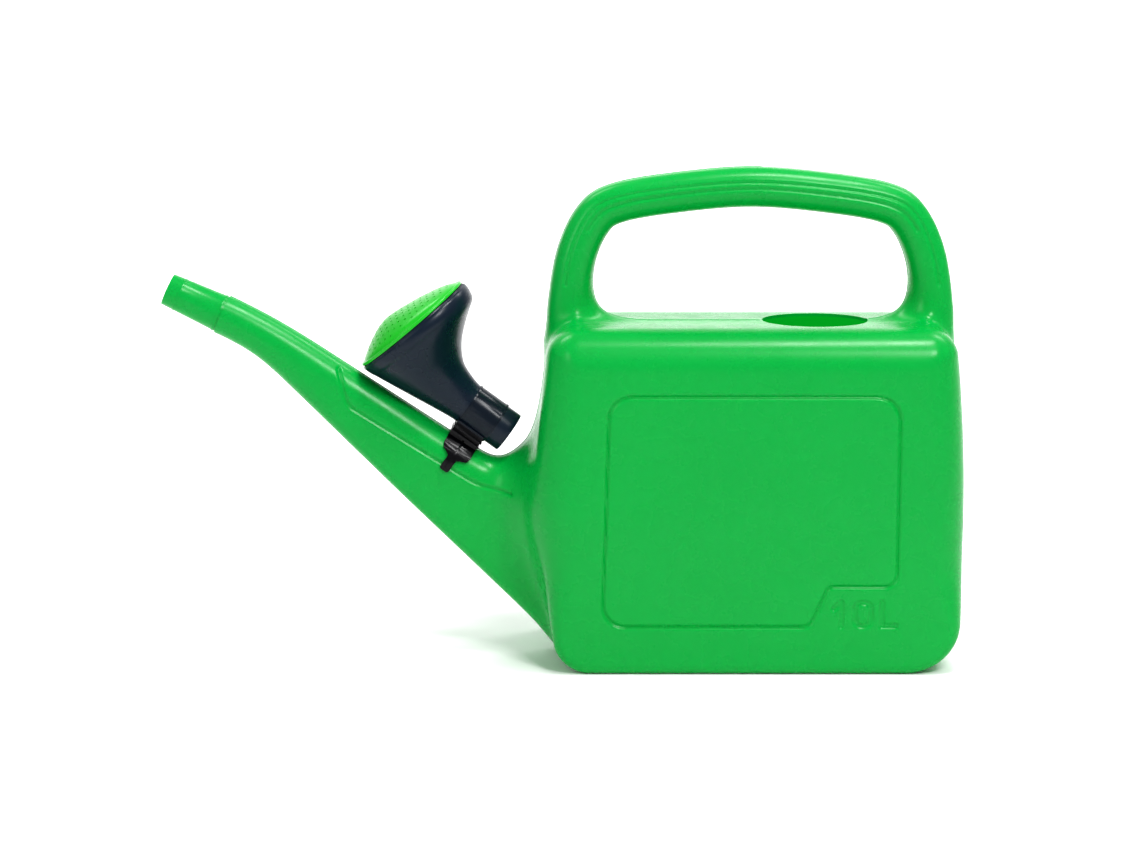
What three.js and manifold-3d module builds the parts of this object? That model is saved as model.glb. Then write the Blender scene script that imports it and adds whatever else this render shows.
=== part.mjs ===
// A ten-litre plastic watering can: a hollow blow-moulded can with a loop handle and a long tapered
// spout, and a black watering rose that a clip parks above the spout.
// Millimetres, +Z up. The spout points to -X. The origin is on the ground, under the middle of the tank.
import * as THREE from 'three';
import { mergeVertices } from 'three/addons/utils/BufferGeometryUtils.js';
import Module from 'manifold-3d';

const wasm = await Module();
wasm.setup();

// ---- driving dimensions ----------------------------------------------------------------------------
const wall = 2.2; // skin of the blow-moulded can
const seam = 0.3; // gap where two nodes of the one moulding meet

const tankLength = 305; // along the top edge
const tankHeight = 252;
const tankDepth = 146;
const tankFillet = 28; // rounding from the front and back faces onto the sides
const leftBulge = 6; // how far the end walls swell beyond the top edge
const rightBulge = 5.5;
const leftFootRadius = 22;
const rightFootRadius = 46;
const topCornerRadius = 20;

const fillerRadius = 39;
const fillerFromRight = 106; // from the right end of the top edge to the filler's centre

const handleRise = 113.5; // from the tank's top to the top of the grip
const handleThickness = 29.3;
const handleDepth = 36;
const handleRounding = 13;
const handleLean = 14; // how far each leg leans in between its foot and its shoulder
const handleShoulders = [ // the leg's lean and height, each as a share, from its foot to the grip
  [0, 0.08],
  [0.45, 0.42],
  [1.35, 0.66],
  [2.6, 0.765],
];
const gripArch = 0.04; // how far the grip's ends lie below its middle, as a share of the rise

const spoutReach = 280; // from the tank's left wall to the middle of the spout's mouth
const spoutMouthHeight = 275;
const spoutSlope = 25; // degrees, at the mouth
const tipLength = 44;
const mouthDiameter = 24.2;
const seatDiameter = 28.2; // thick end of the tapered seat that the rose pushes onto
const collarDiameter = 30; // spout behind the seat's step
const railSlope = 33.4; // degrees, the spout's long top edge
const railHalfDepth = 20; // half the spout's width where the clip sits
const valleyHeight = 151; // lowest point between the spout and the tank
const valleyFromTank = 30;
const railFromValley = 31.5; // where the straight top edge ends, measured level from the valley
const railAboveValley = 8.5;
const valleyFlat = 10; // nearly level run just before the valley
const valleyClimb = 34; // how far the edge climbs up the tank's wall behind the valley
const spoutRootBottom = 9;
const keelRadius = 9; // rounding of the spout's under edge at its root
const rootLap = 2; // how far the spout's edges run in past the tank's end

const socketOuterRadius = 14;
const roseWall = 1.8;
const socketLength = 36;
const roseSlope = 36; // degrees, the parked rose's neck
const neckAboveRail = 24; // from the spout's top edge up to the neck's axis
const roseTilt = 15.3; // degrees between the neck and the way the rose faces
const roseFaceLength = 96;
const roseFaceWidth = 84;
const rimDrop = 21.7; // from the neck's axis down to the lower end of the face's rim
const roseReach = 102; // from the socket's end to the face's centre
const flareStart = 28; // how far the funnel's back stays close to the neck's line
const flareRise = 34; // how steeply the back climbs to the collar
const collarHeight = 8;

const faceWall = 1.6;
const faceRim = 3.7;
const domeHeight = 17;
const domePeak = 35; // from the face's lower end
const sprayHoleRadius = 0.9;
const sprayPitch = 8;
const snapDepth = 3; // how far the face's skirt reaches into the funnel
const snapGap = 0.35;

const saddleFromRailEnd = 4; // from the end of the spout's straight edge up to under the clip's middle
const clipThickness = 2;
const clipGap = 0.4; // clearance of the clip to the spout and to the rose's neck
const clipStart = 10.5; // from the socket's end
const clipLength = 25;
const cheekDrop = 34; // from the neck's axis down to the cheek's shoulders
const tabDrop = 48.5; // from the neck's axis down to the finger tab's end
const tabWidth = 7.5;
const ribDepth = 1.2;

const rad = THREE.MathUtils.degToRad;

// ---- solids ----------------------------------------------------------------------------------------
// A closed mesh's geometry as a solid that can be cut and joined.
function solid(geometry) {
  const bare = geometry.clone();
  bare.deleteAttribute('normal');
  bare.deleteAttribute('uv');
  const merged = mergeVertices(bare, 1e-4);
  return new wasm.Manifold(new wasm.Mesh({
    numProp: 3,
    vertProperties: merged.attributes.position.array,
    triVerts: new Uint32Array(merged.index.array),
  }));
}

function geometryOf(made) {
  const mesh = made.getMesh();
  const geometry = new THREE.BufferGeometry();
  geometry.setAttribute('position', new THREE.BufferAttribute(mesh.vertProperties, 3));
  geometry.setIndex(new THREE.BufferAttribute(mesh.triVerts, 1));
  geometry.computeVertexNormals();
  return geometry;
}

// A closed solid through rings of equal counts of points, with a fan at each end.
function loft(rings) {
  const count = rings[0].length;
  const corners = rings.flat();
  const ends = [rings[0], rings[rings.length - 1]].map((ring) => {
    const middle = new THREE.Vector3();
    ring.forEach((p) => middle.addScaledVector(p, 1 / count));
    return middle;
  });
  const points = [...corners, ...ends];
  const faces = [];
  for (let i = 0; i < count; i += 1) {
    const next = (i + 1) % count;
    for (let r = 0; r + 1 < rings.length; r += 1) {
      const a = r * count;
      const b = a + count;
      faces.push(a + i, a + next, b + next, a + i, b + next, b + i);
    }
    const last = (rings.length - 1) * count;
    faces.push(corners.length, next, i);
    faces.push(corners.length + 1, last + i, last + next);
  }
  const geometry = new THREE.BufferGeometry().setFromPoints(points);
  geometry.setIndex(faces);
  const made = solid(geometry);
  if (made.volume() > 0) return made;
  geometry.setIndex(faces.reverse());
  return solid(geometry);
}

// A round bar between two points.
function bar(from, to, radius, sides) {
  const way = to.clone().sub(from);
  const geometry = new THREE.CylinderGeometry(radius, radius, way.length(), sides);
  const turn = new THREE.Quaternion().setFromUnitVectors(new THREE.Vector3(0, 1, 0), way.clone().normalize());
  const middle = from.clone().add(to).multiplyScalar(0.5);
  geometry.applyQuaternion(turn);
  return solid(geometry.translate(middle.x, middle.y, middle.z));
}

// Points of an arc in a plane, from one angle to another.
function arc(cx, cz, radius, from, to, steps) {
  return Array.from({ length: steps + 1 }, (_, i) => {
    const angle = rad(from + ((to - from) * i) / steps);
    return new THREE.Vector2(cx + radius * Math.cos(angle), cz + radius * Math.sin(angle));
  });
}

// ---- tank ------------------------------------------------------------------------------------------
const tankLeft = -tankLength / 2;
const tankRight = tankLength / 2;

// The tank's side view, drawn in by `inset` from its outer skin.
function tankOutline(inset) {
  const corner = (x, z, radius, from) => {
    const r = Math.max(radius - inset, 1.5);
    const sideX = x + (x > 0 ? -inset - r : inset + r);
    const sideZ = z + (z > 0 ? -inset - r : inset + r);
    return arc(sideX, sideZ, r, from, from + 90, 5);
  };
  return [
    ...corner(tankLeft - leftBulge / 3, 0, leftFootRadius, 180),
    ...corner(tankRight + rightBulge / 2, 0, rightFootRadius, 270),
    new THREE.Vector2(tankRight + rightBulge - inset, tankHeight * 0.43),
    ...corner(tankRight, tankHeight, topCornerRadius, 0),
    ...corner(tankLeft, tankHeight, topCornerRadius, 90),
    new THREE.Vector2(tankLeft - leftBulge + inset, tankHeight * 0.6),
  ];
}

// The tank as one solid, with its skin moved in by `inset`; a negative inset grows it.
function tankSolid(inset) {
  const half = tankDepth / 2 - inset;
  const fillet = Math.min(tankFillet - inset, half);
  const rounding = [90, 68, 46, 24, 0];
  const levels = [
    ...rounding.map((angle) => [fillet * (1 - Math.cos(rad(angle))), -(half - fillet) - fillet * Math.sin(rad(angle))]),
    ...rounding.toReversed().map((angle) => [
      fillet * (1 - Math.cos(rad(angle))),
      half - fillet + fillet * Math.sin(rad(angle)),
    ]),
  ];
  return loft(levels.map(([drawn, y]) => tankOutline(inset + drawn).map((p) => new THREE.Vector3(p.x, y, p.y))));
}

// ---- handle ----------------------------------------------------------------------------------------
const handleTop = tankHeight + handleRise;

// The middle line of the handle, from inside the left foot over the grip to inside the right foot.
function handleLine() {
  const half = handleThickness / 2;
  const gripHeight = handleTop - half;
  const leg = (x, towards) => [
    new THREE.Vector2(x + towards * (half - 1), tankHeight - half),
    ...handleShoulders.map(([lean, rise]) => new THREE.Vector2(
      x + towards * (half + handleLean * lean),
      tankHeight + handleRise * rise,
    )),
    new THREE.Vector2(x + towards * (half + handleLean * 5.6), gripHeight - handleRise * gripArch),
  ];
  const middle = (tankLeft + tankRight) / 2;
  return new THREE.SplineCurve([
    ...leg(tankLeft, 1),
    new THREE.Vector2(middle, gripHeight),
    ...leg(tankRight, -1).toReversed(),
  ]);
}

// The handle's tube, with its skin moved in by `inset`.
function handleSolid(inset) {
  const line = handleLine();
  const steps = 34;
  const halfThick = handleThickness / 2 - inset;
  const halfDeep = handleDepth / 2 - inset;
  const round = Math.min(handleRounding - inset, halfThick, halfDeep);
  const section = [45, 135, 225, 315].flatMap((middle) => {
    const cx = Math.sign(Math.cos(rad(middle))) * (halfThick - round);
    const cy = Math.sign(Math.sin(rad(middle))) * (halfDeep - round);
    return arc(cx, cy, round, middle - 45, middle + 45, 4);
  });
  const rings = Array.from({ length: steps + 1 }, (_, i) => {
    const at = line.getPointAt(i / steps);
    const along = line.getTangentAt(i / steps);
    return section.map((p) => new THREE.Vector3(at.x - along.y * p.x, p.y, at.y + along.x * p.x));
  });
  return loft(rings);
}

// ---- spout -----------------------------------------------------------------------------------------
const mouth = new THREE.Vector2(tankLeft - spoutReach, spoutMouthHeight);
const tipWay = new THREE.Vector2(Math.cos(rad(spoutSlope)), -Math.sin(rad(spoutSlope)));
const tipUp = new THREE.Vector2(-tipWay.y, tipWay.x);
const seatEnd = mouth.clone().addScaledVector(tipWay, tipLength);
const collarAt = seatEnd.clone().addScaledVector(tipWay, seam);
const valley = new THREE.Vector2(tankLeft - valleyFromTank, valleyHeight);
const railWay = new THREE.Vector2(Math.cos(rad(railSlope)), -Math.sin(rad(railSlope)));
const railStart = new THREE.Vector2(valley.x - railFromValley, valley.y + railAboveValley);

// The spout's top edge, from the seat's step down the rail and up the tank's wall.
function spoutTopEdge() {
  const start = collarAt.clone().addScaledVector(tipUp, collarDiameter / 2);
  const bend = start.clone().addScaledVector(tipWay, collarDiameter * 0.8);
  const railRun = railStart.clone().sub(bend);
  return new THREE.SplineCurve([
    start,
    start.clone().lerp(bend, 0.5),
    bend,
    bend.clone().addScaledVector(railRun, 0.33),
    bend.clone().addScaledVector(railRun, 0.66),
    railStart,
    new THREE.Vector2(valley.x - valleyFlat, valley.y + valleyFlat * 0.15),
    valley,
    new THREE.Vector2(tankLeft - valleyFromTank * 0.45, valley.y + valleyClimb * 0.2),
    new THREE.Vector2(tankLeft + rootLap, valley.y + valleyClimb),
  ]);
}

// The spout's keel, from the seat's step to the foot of the tank's wall.
function spoutKeel() {
  const start = collarAt.clone().addScaledVector(tipUp, -collarDiameter / 2);
  const bend = start.clone().addScaledVector(tipWay, collarDiameter * 0.9);
  const root = new THREE.Vector2(tankLeft + rootLap, spoutRootBottom);
  return new THREE.SplineCurve([
    start,
    start.clone().lerp(bend, 0.5),
    bend,
    bend.clone().lerp(root, 0.35),
    bend.clone().lerp(root, 0.7),
    root,
  ]);
}

// Half the spout's width at a share of its length: it widens evenly, then flares into the tank.
function spoutHalfDepth(share) {
  const even = THREE.MathUtils.lerp(collarDiameter / 2, railHalfDepth, Math.min(share / 0.75, 1));
  const flare = THREE.MathUtils.smoothstep(share, 0.84, 1.04);
  return even + flare * (tankDepth / 2 - tankFillet - even);
}

// The spout behind its seat, with its skin moved in by `inset`; it starts `past` ahead of its end and
// runs on into the tank.
function spoutSolid(inset, past) {
  const top = spoutTopEdge();
  const keel = spoutKeel();
  const steps = 26;
  const ring = (share, shift) => {
    const upper = top.getPointAt(share).add(shift);
    const lower = keel.getPointAt(share).add(shift);
    const up = upper.clone().sub(lower).normalize();
    const halfHeight = upper.distanceTo(lower) / 2 - inset;
    const middle = upper.clone().add(lower).multiplyScalar(0.5);
    const halfDeep = spoutHalfDepth(share) - inset;
    const topRadius = Math.min(halfDeep, halfHeight);
    const lowRadius = Math.min(THREE.MathUtils.lerp(collarDiameter / 2, keelRadius, share) - inset, topRadius);
    const section = [
      ...arc(halfDeep - topRadius, halfHeight - topRadius, topRadius, 0, 90, 5),
      ...arc(topRadius - halfDeep, halfHeight - topRadius, topRadius, 90, 180, 5),
      ...arc(lowRadius - halfDeep, lowRadius - halfHeight, lowRadius, 180, 270, 4),
      ...arc(halfDeep - lowRadius, lowRadius - halfHeight, lowRadius, 270, 360, 4),
    ];
    return section.map((p) => new THREE.Vector3(middle.x + up.x * p.y, p.x, middle.y + up.y * p.y));
  };
  const onward = new THREE.Vector2(tankFillet, 0);
  return loft([
    ring(0, tipWay.clone().multiplyScalar(-past)),
    ...Array.from({ length: steps }, (_, i) => ring((i + 1) / steps, new THREE.Vector2())),
    ring(1, onward),
  ]);
}

// A straight round bore along the spout's tip, from `before` its mouth to `past` its step.
function tipBore(radius, before, past) {
  const from = mouth.clone().addScaledVector(tipWay, -before);
  const to = seatEnd.clone().addScaledVector(tipWay, past);
  return bar(new THREE.Vector3(from.x, 0, from.y), new THREE.Vector3(to.x, 0, to.y), radius, 24);
}

// The tapered seat at the spout's end that the rose pushes onto.
function tipSolid() {
  const length = mouth.distanceTo(seatEnd);
  const lip = 1.5;
  const geometry = new THREE.LatheGeometry([
    new THREE.Vector2(0, 0),
    new THREE.Vector2(mouthDiameter / 2 - lip, 0),
    new THREE.Vector2(mouthDiameter / 2, lip),
    new THREE.Vector2(seatDiameter / 2, length),
    new THREE.Vector2(0, length),
  ], 24);
  const turn = new THREE.Quaternion().setFromUnitVectors(
    new THREE.Vector3(0, 1, 0),
    new THREE.Vector3(tipWay.x, 0, tipWay.y),
  );
  geometry.applyQuaternion(turn);
  return solid(geometry.translate(mouth.x, 0, mouth.y)).subtract(tipBore(mouthDiameter / 2 - wall, 5, 5));
}

// ---- rose ------------------------------------------------------------------------------------------
// The rose is drawn along its own neck: `u` runs from the socket's end to the face, `v` upwards across it.
const neckWay = new THREE.Vector2(-Math.cos(rad(roseSlope)), Math.sin(rad(roseSlope)));
const neckUp = new THREE.Vector2(-neckWay.y, neckWay.x).multiplyScalar(-1);
const clipMiddle = clipStart + clipLength / 2;
const saddleAt = railStart.clone().addScaledVector(railWay, -saddleFromRailEnd);
const socketEnd = saddleAt.clone().addScaledVector(neckUp, neckAboveRail).addScaledVector(neckWay, -clipMiddle);

function roseToCan(u, v, y) {
  const at = socketEnd.clone().addScaledVector(neckWay, u).addScaledVector(neckUp, v);
  return new THREE.Vector3(at.x, y, at.y);
}

const faceWay = new THREE.Vector2(Math.cos(rad(roseTilt)), Math.sin(rad(roseTilt)));
const faceUp = new THREE.Vector2(-faceWay.y, faceWay.x);
const faceRise = (roseFaceLength / 2) * Math.cos(rad(roseTilt)) - rimDrop;
const faceMiddle = new THREE.Vector2(roseReach, faceRise);

// An oval ring of the rose, centred at (u, v) along the neck and turned with `up`.
function oval(centre, up, halfLong, halfWide, sides) {
  return Array.from({ length: sides }, (_, i) => {
    const angle = (i / sides) * 2 * Math.PI;
    const at = centre.clone().addScaledVector(up, halfLong * Math.cos(angle));
    return roseToCan(at.x, at.y, halfWide * Math.sin(angle));
  });
}

// The funnel with its skin moved in by `inset`, and both ends pushed out by `past`.
function funnelSolid(inset, past) {
  const sides = 32;
  const low = new THREE.Vector2(socketLength, -socketOuterRadius);
  const rimLow = faceMiddle.clone().addScaledVector(faceUp, -roseFaceLength / 2);
  const rimHigh = faceMiddle.clone().addScaledVector(faceUp, roseFaceLength / 2);
  const shoulder = rimHigh.clone().addScaledVector(faceWay, -collarHeight);
  const flareTop = new THREE.CubicBezierCurve(
    new THREE.Vector2(socketLength, socketOuterRadius),
    new THREE.Vector2(socketLength + flareStart, socketOuterRadius + 2),
    new THREE.Vector2(shoulder.x - flareRise * 0.3, shoulder.y - flareRise),
    shoulder.clone().addScaledVector(faceUp, -1.5),
  );
  const shoulderLow = rimLow.clone().addScaledVector(faceWay, -collarHeight);
  const flareLow = new THREE.LineCurve(low, new THREE.Vector2(shoulderLow.x, rimLow.y + 1));
  const up = new THREE.Vector2(0, 1);
  const radius = socketOuterRadius - inset;
  const rings = [
    oval(new THREE.Vector2(-past, 0), up, radius, radius, sides),
    oval(new THREE.Vector2(socketLength, 0), up, radius, radius, sides),
  ];
  [0.25, 0.45, 0.62, 0.77, 0.9, 1].forEach((share) => {
    const high = flareTop.getPoint(share);
    const under = flareLow.getPoint(share);
    const halfLong = high.distanceTo(under) / 2;
    const spread = (halfLong - socketOuterRadius) / (roseFaceLength / 2 - socketOuterRadius);
    const halfWide = THREE.MathUtils.lerp(socketOuterRadius, roseFaceWidth / 2, spread);
    const lean = high.clone().sub(under).normalize();
    const middle = high.clone().add(under).multiplyScalar(0.5);
    rings.push(oval(middle, lean, halfLong - inset, halfWide - inset, sides));
  });
  const halfLong = roseFaceLength / 2 - inset;
  const halfWide = roseFaceWidth / 2 - inset;
  rings.push(oval(faceMiddle.clone().addScaledVector(faceWay, past), faceUp, halfLong, halfWide, sides));
  return loft(rings);
}

// How far the dome's edge lies from the face's two ends at a height above the funnel's rim.
function domeEnds(height) {
  const share = (height - faceRim) / (domeHeight - faceRim);
  const low = domePeak * (1 - Math.sqrt(1 - share));
  const high = roseFaceLength - (roseFaceLength - domePeak) * Math.pow(share, 0.92);
  return [low, high];
}

// The domed face with its skin moved in by `inset`, over a rim that starts at `from` and is drawn in
// by `rimInset`.
function domeSolid(inset, from, rimInset) {
  const sides = 32;
  const ring = (height, low, high, drawn) => {
    const halfLong = Math.max((high - low) / 2 - drawn, 0.4);
    const halfWide = Math.max((roseFaceWidth / 2) * ((high - low) / roseFaceLength) ** 0.9 - drawn, 0.4);
    const centre = faceMiddle.clone().addScaledVector(faceUp, (low + high) / 2 - roseFaceLength / 2);
    return oval(centre.addScaledVector(faceWay, height), faceUp, halfLong, halfWide, sides);
  };
  const heights = [0.18, 0.36, 0.54, 0.7, 0.84, 0.94, 0.995];
  const domed = heights.map((share) => THREE.MathUtils.lerp(faceRim, domeHeight, share));
  return loft([
    ring(from, 0, roseFaceLength, rimInset),
    ring(faceRim - inset, 0, roseFaceLength, rimInset),
    ...domed.map((height) => ring(height - inset, ...domeEnds(height), inset)),
  ]);
}

// Spray holes on a staggered grid over the dome, each square to the funnel's rim.
function sprayHoles() {
  const holes = [];
  const rowStep = sprayPitch * Math.sin(rad(60));
  const rows = Math.floor(roseFaceLength / rowStep);
  for (let row = -rows; row <= rows; row += 1) {
    for (let place = -rows; place <= rows; place += 1) {
      const along = row * rowStep;
      const across = (place + (row % 2 === 0 ? 0 : 0.5)) * sprayPitch;
      const margin = 8;
      const reach = Math.hypot(
        along / (roseFaceLength / 2 - margin),
        across / (roseFaceWidth / 2 - margin),
      );
      if (reach > 1) continue;
      const base = faceMiddle.clone().addScaledVector(faceUp, along);
      const far = base.clone().addScaledVector(faceWay, domeHeight + 2);
      holes.push(bar(roseToCan(base.x, base.y, across), roseToCan(far.x, far.y, across), sprayHoleRadius, 5));
    }
  }
  return holes.reduce((all, hole) => all.add(hole));
}

// ---- clip ------------------------------------------------------------------------------------------
// A plate shape in the rose's side view, run right across the can.
function acrossCan(outline, halfWidth) {
  return loft([-halfWidth, halfWidth].map((y) => outline.map(([u, v]) => roseToCan(u, v, y))));
}

function clipCheeks() {
  const end = clipStart + clipLength;
  const tabMiddle = clipMiddle + 0.5;
  const tabLow = tabMiddle - tabWidth / 2;
  const tabHigh = tabMiddle + tabWidth / 2;
  const shield = acrossCan([
    [clipStart + 2, -socketOuterRadius], [clipStart + 2, -cheekDrop], [clipStart + 4, -cheekDrop - 2.5],
    [tabLow - 1.5, -cheekDrop - 3.5], [tabLow, -cheekDrop - 6], [tabLow, -tabDrop + 2], [tabLow + 2, -tabDrop],
    [tabHigh - 2, -tabDrop], [tabHigh, -tabDrop + 2], [tabHigh, -cheekDrop - 5], [tabHigh + 3, -cheekDrop - 1.5],
    [end - 1, -cheekDrop + 1.5], [end, -cheekDrop + 4], [end, -socketOuterRadius],
  ], tankDepth / 2);
  const ribs = acrossCan([
    [tabMiddle - 0.8, -cheekDrop + 6], [tabMiddle + 0.8, -cheekDrop + 6],
    [tabMiddle + 0.8, -tabDrop + 1], [tabMiddle - 0.8, -tabDrop + 1],
  ], tankDepth / 2);
  return spoutSolid(-clipGap - clipThickness, 0).intersect(shield)
    .add(spoutSolid(-clipGap - clipThickness - ribDepth, 0).intersect(ribs));
}

function clipSolid() {
  const end = clipStart + clipLength;
  const ring = (radius, from, to) => bar(roseToCan(from, 0, 0), roseToCan(to, 0, 0), radius, 36);
  const bore = socketOuterRadius + clipGap;
  const stalk = acrossCan([
    [clipStart + 2, -socketOuterRadius + 3], [end, -socketOuterRadius + 3],
    [end, -neckAboveRail - 4], [clipStart + 2, -neckAboveRail - 4],
  ], socketOuterRadius * 0.6);
  return ring(bore + clipThickness, clipStart, end)
    .add(stalk)
    .add(clipCheeks())
    .subtract(ring(bore, clipStart - 5, end + 5))
    .subtract(spoutSolid(-clipGap, 0));
}

// ---- assembly --------------------------------------------------------------------------------------
const green = new THREE.MeshStandardMaterial({ color: 0x00b84a, roughness: 0.38, metalness: 0 });
const leaf = new THREE.MeshStandardMaterial({ color: 0x0cc72e, roughness: 0.35, metalness: 0 });
const navy = new THREE.MeshStandardMaterial({ color: 0x121e2b, roughness: 0.4, metalness: 0 });
const black = new THREE.MeshStandardMaterial({ color: 0x08080b, roughness: 0.3, metalness: 0 });

function part(name, made, material) {
  const mesh = new THREE.Mesh(geometryOf(made), material);
  mesh.name = name;
  return mesh;
}

function tankShell() {
  const fillerX = tankRight - fillerFromRight;
  const filler = bar(
    new THREE.Vector3(fillerX, 0, tankHeight - tankFillet),
    new THREE.Vector3(fillerX, 0, tankHeight + 10),
    fillerRadius,
    48,
  );
  return tankSolid(0)
    .subtract(tankSolid(wall))
    .subtract(filler)
    .subtract(handleSolid(wall))
    .subtract(spoutSolid(wall, 0));
}

function handleShell() {
  return handleSolid(0).subtract(handleSolid(wall)).subtract(tankSolid(-seam));
}

function spoutShell() {
  return spoutSolid(0, 0).subtract(spoutSolid(wall, 5)).subtract(tankSolid(-seam));
}

function funnelShell() {
  return funnelSolid(0, 0).subtract(funnelSolid(roseWall, 1));
}

function faceShell() {
  const skirtInset = roseWall + snapGap;
  const skirt = loft([-snapDepth, faceRim - 1].map((height) => oval(
    faceMiddle.clone().addScaledVector(faceWay, height),
    faceUp,
    roseFaceLength / 2 - skirtInset,
    roseFaceWidth / 2 - skirtInset,
    32,
  )));
  return domeSolid(0, seam, 0)
    .add(skirt.intersect(funnelSolid(skirtInset, domeHeight)))
    .subtract(domeSolid(faceWall, -snapDepth - 1, skirtInset + faceWall))
    .subtract(sprayHoles());
}

const can = new THREE.Group();
can.add(part('tank', tankShell(), green));
can.add(part('handle', handleShell(), green));
can.add(part('spout', spoutShell(), green));
can.add(part('spout_tip', tipSolid(), green));
can.add(part('rose_clip', clipSolid(), black));

const rose = new THREE.Group();
rose.add(part('rose_funnel', funnelShell(), navy));
rose.add(part('rose_face', faceShell(), leaf));
can.add(rose);

export default can;
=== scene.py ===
import math

import bmesh
import bpy
import numpy as np
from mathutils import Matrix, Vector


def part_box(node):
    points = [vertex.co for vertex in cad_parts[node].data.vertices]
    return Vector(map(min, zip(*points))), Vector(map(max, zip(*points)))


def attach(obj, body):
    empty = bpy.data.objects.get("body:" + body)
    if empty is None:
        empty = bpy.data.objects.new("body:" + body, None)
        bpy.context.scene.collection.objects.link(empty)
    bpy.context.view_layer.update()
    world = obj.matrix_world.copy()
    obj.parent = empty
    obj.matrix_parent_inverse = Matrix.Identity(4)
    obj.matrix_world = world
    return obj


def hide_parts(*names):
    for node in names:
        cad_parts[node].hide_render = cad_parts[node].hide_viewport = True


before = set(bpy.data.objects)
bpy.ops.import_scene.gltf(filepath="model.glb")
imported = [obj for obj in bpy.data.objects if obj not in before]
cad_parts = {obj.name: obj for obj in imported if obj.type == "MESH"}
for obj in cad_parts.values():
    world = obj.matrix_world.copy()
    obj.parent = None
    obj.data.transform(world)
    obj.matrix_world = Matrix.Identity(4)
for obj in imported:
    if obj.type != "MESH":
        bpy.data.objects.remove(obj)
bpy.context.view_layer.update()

import openvdb
from mathutils import Matrix, Vector

MM = 0.001

# ---- sizes, in millimetres ---------------------------------------------------------------------------
TANK_LOW, TANK_HIGH = (np.array(corner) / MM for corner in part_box("tank"))
TANK_HEIGHT = TANK_HIGH[2]
TANK_HALF_DEPTH = TANK_HIGH[1]
END_SWELL = 7.5            # how far the end walls stand out between their corners
LEFT_SWELL_AT, LEFT_SWELL_REACH = 150, 104      # the left end is fullest at one, and drawn in the other away
RIGHT_SWELL_AT, RIGHT_SWELL_REACH = 110, 130
LEFT_LEAN = 1.6            # the left end leans in by this much
LEFT_LEAN_SPAN = (60, 170)                      # between these heights
RIGHT_INSET = 4.6          # from the CAD's right end to the right wall's fullest point
TOP_CORNER = 20
LEFT_FOOT = 22
RIGHT_FOOT = 37
SIDE_FILLET = 28           # front and back faces onto the end walls and the top
FOOT_FILLET = 6            # front and back faces onto the base
FILLET_SPAN = (10, 90)     # the heights over which the one turns into the other
SKIN = 2.2                 # thickness of the moulding
SKIN_PITCH = 3.3           # mesh size of the outer skin
LINING_PITCH = 6.0         # and of the inner one
GROOVE_MARGINS = (3.0, 1.2)                     # the skin's mesh is halved this near to a groove, in turn
CUT_ROOM = 15              # how far the filler's cutter runs past the wall

HANDLE_THICK = 29.3
HANDLE_DEEP = 36
HANDLE_ROUND = 13
HANDLE_LEAN = 14
HANDLE_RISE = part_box("handle")[1][2] / MM - TANK_HEIGHT
LEFT_LEG_OUT = 0.5         # how far each leg's outer side lies from the corner of the end wall
RIGHT_LEG_IN = 2.2
LEG_POINTS = [(0, -0.12), (0, 0.08), (0.45, 0.42), (1.35, 0.66), (2.6, 0.765)]     # shares of lean and rise
SHOULDER_LEAN = 5.6        # where the leg meets the grip, as a share of the lean
SHOULDER_DROP = 0.04       # and as a share of the rise below the grip
LIFT_FROM, LIFT_OVER = 30, 60                   # over the tank, where a groove's line rises by its shift
HANDLE_STEPS = 90
ROOT_BLEND = 58            # how softly the handle grows out of the tank
ROOT_SIDE_SHARE = 0.5      # what is left of that beyond the handle's front and back
ROOT_SIDE_REACH = 4
ROOT_END_LOSS = 0.7        # what is lost of it at the tank's ends
ROOT_END_SPAN = (128, 149)                      # this far from the tank's middle

FILLER_RADIUS = 39
FILLER_X = 46.5

MOUTH = np.array([-432.5, 275.0])
TIP_SLOPE = math.radians(25)
TIP_WAY = np.array([math.cos(TIP_SLOPE), -math.sin(TIP_SLOPE)])
TIP_LENGTH = 44
MOUTH_RADIUS = 12.1
SEAT_RADIUS = 14.1
COLLAR_RADIUS = 15
BEADS = ((9, 0.25), (TIP_LENGTH - 3, 0.35))     # how far along the seat each bead lies, and how proud
BEAD_WIDTH = 1.4
PAST_TIP = 60              # how far the cutter that clears the room for the tip runs
RAIL_SLOPE = math.radians(33.4)
RAIL_START = np.array([-214.0, 162.3])
RAIL_HALF_DEEP = 19
KEEL_SLOPE = math.radians(44.3)
KEEL_POINT = np.array([-262.0, 124.0])
KEEL_ROUND = 9
KEEL_SPAN = (20, 200)      # the keel narrows this far past the step
RAIL_BEND, KEEL_BEND = 9, 13                    # how softly the spout's top and bottom lines bend
WIDEN_FROM, WIDEN_OVER = 12, 170                # where the spout widens, past the step
SPOUT_EARLY = 12           # the skin starts this far before the step, which then cuts it square
SPOUT_INTO_TANK = 40
SPOUT_BLEND = 104          # how softly the spout grows out of the tank, at the valley
FOOT_BLEND = 26            # and where its keel meets the tank's foot
VALLEY_SPAN = (20, 125)    # the heights between the two
CLIP_SHARE = 0.55          # what is left of the blend where the clip sits
CLIP_SPAN = (-205, -170)

SEAM_WIDTH = 1.1           # the flash line that the mould's halves leave
SEAM_HEIGHT = 0.35
SEAM_FROM_FILLER = 1.5

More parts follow.
